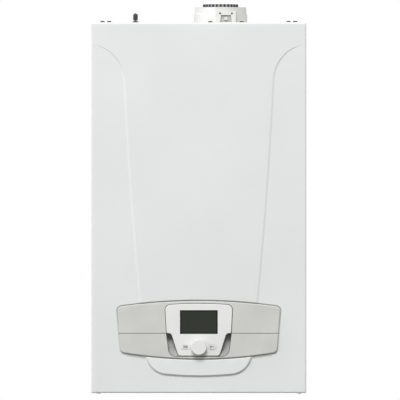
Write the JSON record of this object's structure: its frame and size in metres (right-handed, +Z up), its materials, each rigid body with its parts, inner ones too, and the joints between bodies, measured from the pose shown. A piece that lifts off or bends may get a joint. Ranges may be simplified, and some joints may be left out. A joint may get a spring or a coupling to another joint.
{
  "type": "condensing gas boiler",
  "caption": "Wall-hung condensing gas boiler: steel case with removable creased front cover, arched fascia with pull-out control unit, coaxial flue adaptor on top and pipe unions below.",
  "frame": {"origin": "on the wall, midway between the two wall screws", "axes": "+X to the right as a person faces the boiler, +Y from the front towards the wall, +Z up"},
  "size_m": [0.45, 0.3613, 0.8204],
  "materials": {
    "white_enamel": "smooth light grey-white enamel",
    "galvanised_steel": "galvanised sheet with a soft spangle",
    "zinc_screws": "zinc-plated",
    "grey_plastic": "fine-grained warm light grey",
    "white_plastic": "satin white moulding",
    "black_plastic": "matt black moulding",
    "black_rubber": "soft black rubber",
    "red_steel": "red paint",
    "brass": "turned brass",
    "copper": "bare copper pipe",
    "stainless_steel": "drawn stainless steel",
    "cast_aluminium": "as-cast aluminium",
    "white_ceramic": "glazed ceramic",
    "grey_trap_plastic": "plain grey moulding",
    "cast_iron": "dark coated casting",
    "red_plastic": "red moulding",
    "blue_plastic": "blue moulding",
    "gauge_black": "black gauge body with a bare dial",
    "circuit_green": "solder-masked board",
    "display_dark": "unlit liquid crystal glass"
  },
  "bodies": {
    "chassis": {"wall_bracket": "galvanised_steel", "rear_frame": "galvanised_steel", "left_side_panel": "white_enamel", "right_side_panel": "white_enamel", "top_plate": "white_enamel", "bottom_plate": "galvanised_steel", "fixing_screws": "zinc_screws", "panel_lugs": "galvanised_steel", "flue_adaptor": "grey_plastic", "flue_duct": "white_plastic", "flue_seal": "black_rubber", "sampling_plugs": "black_plastic", "expansion_vessel": "red_steel", "vessel_valve": "stainless_steel", "exchanger_casing": "stainless_steel", "exchanger_coil": "stainless_steel", "burner_door": "cast_aluminium", "burner_tube": "stainless_steel", "electrodes": "white_ceramic", "fan_housing": "cast_aluminium", "fan_motor": "black_plastic", "air_mixer": "black_plastic", "gas_valve": "cast_aluminium", "gas_pipe": "copper", "condensate_trap": "grey_trap_plastic", "pipe_unions": "brass", "heating_pipes": "copper", "tap_water_pipes": "copper", "pump_housing": "cast_iron", "pump_motor": "black_plastic", "diverter_body": "brass", "diverter_motor": "black_plastic", "plate_exchanger": "stainless_steel", "safety_valve": "brass", "filling_tap": "brass", "pressure_gauge": "gauge_black", "cable_glands": "black_rubber"},
    "front_cover": {"front_panel": "white_enamel", "cover_screws": "zinc_screws", "fascia_upper": "grey_plastic", "fascia_lower": "grey_plastic", "unit_cradle": "grey_plastic"},
    "control_box": {"control_box_tray": "black_plastic", "control_box_lid": "black_plastic", "main_board": "circuit_green"},
    "control_unit": {"unit_front_shell": "white_plastic", "unit_back_cover": "black_plastic", "display": "display_dark", "unit_board": "circuit_green"},
    "knob_plunger": {"knob_plunger": "black_plastic"},
    "knob": {"knob": "white_plastic"},
    "left_button": {"left_button": "white_plastic"},
    "right_button": {"right_button": "white_plastic"},
    "fan_impeller": {"fan_impeller": "cast_aluminium"},
    "pump_impeller": {"pump_impeller": "grey_trap_plastic"},
    "gauge_needle": {"gauge_needle": "black_plastic"},
    "filling_knob": {"filling_knob": "blue_plastic"},
    "relief_knob": {"relief_knob": "red_plastic"},
    "trap_cup": {"trap_cup": "grey_trap_plastic"},
    "valve_cap": {"valve_cap": "black_plastic"}
  },
  "joints": [
    {"name": "front_cover_slide", "type": "slide", "parent": "chassis", "child": "front_cover", "axis": [0, -1, 0], "range_m": [0, 0.35]},
    {"name": "control_box_hinge", "type": "hinge", "parent": "chassis", "child": "control_box", "pos_m": [0, -0.3, -0.65], "axis": [1, 0, 0], "range_deg": [0, 80]},
    {"name": "control_unit_slide", "type": "slide", "parent": "front_cover", "child": "control_unit", "axis": [0, -1, 0], "range_m": [0, 0.06]},
    {"name": "knob_push", "type": "slide", "parent": "control_unit", "child": "knob_plunger", "axis": [0, 1, 0], "range_m": [0, 0.001], "stiffness_N_per_m": 1500},
    {"name": "knob_turn", "type": "hinge", "parent": "knob_plunger", "child": "knob", "pos_m": [0, -0.3482, -0.6318], "axis": [0, -1, 0], "continuous": true},
    {"name": "left_button_push", "type": "slide", "parent": "control_unit", "child": "left_button", "axis": [0, 1, 0], "range_m": [0, 0.0009], "stiffness_N_per_m": 1000},
    {"name": "right_button_push", "type": "slide", "parent": "control_unit", "child": "right_button", "axis": [0, 1, 0], "range_m": [0, 0.0009], "stiffness_N_per_m": 1000},
    {"name": "fan_spin", "type": "hinge", "parent": "chassis", "child": "fan_impeller", "pos_m": [-0.138, -0.2892, -0.217], "axis": [0, -1, 0], "continuous": true},
    {"name": "pump_spin", "type": "hinge", "parent": "chassis", "child": "pump_impeller", "pos_m": [0.144, -0.164, -0.6], "axis": [0, -1, 0], "continuous": true},
    {"name": "gauge_needle_turn", "type": "hinge", "parent": "chassis", "child": "gauge_needle", "pos_m": [-0.095, -0.212, -0.6982], "axis": [0, 0, -1], "range_deg": [0, 270]},
    {"name": "filling_knob_turn", "type": "hinge", "parent": "chassis", "child": "filling_knob", "pos_m": [0.032, -0.19, -0.6872], "axis": [0, 0, -1], "range_deg": [0, 720]},
    {"name": "relief_knob_turn", "type": "hinge", "parent": "chassis", "child": "relief_knob", "pos_m": [0.207, -0.14, -0.581], "axis": [0, 0, 1], "range_deg": [0, 90]},
    {"name": "trap_cup_turn", "type": "hinge", "parent": "chassis", "child": "trap_cup", "pos_m": [0.07, -0.19, -0.462], "axis": [0, 0, 1], "range_deg": [0, 90]},
    {"name": "valve_cap_turn", "type": "hinge", "parent": "chassis", "child": "valve_cap", "pos_m": [-0.134, -0.19, 0.0566], "axis": [0, 0, 1], "range_deg": [0, 1080]}
  ],
  "couplings": [
    {"joint": "control_box_hinge", "follows": "front_cover_slide", "rad_per_m": 3.9893}
  ]
}
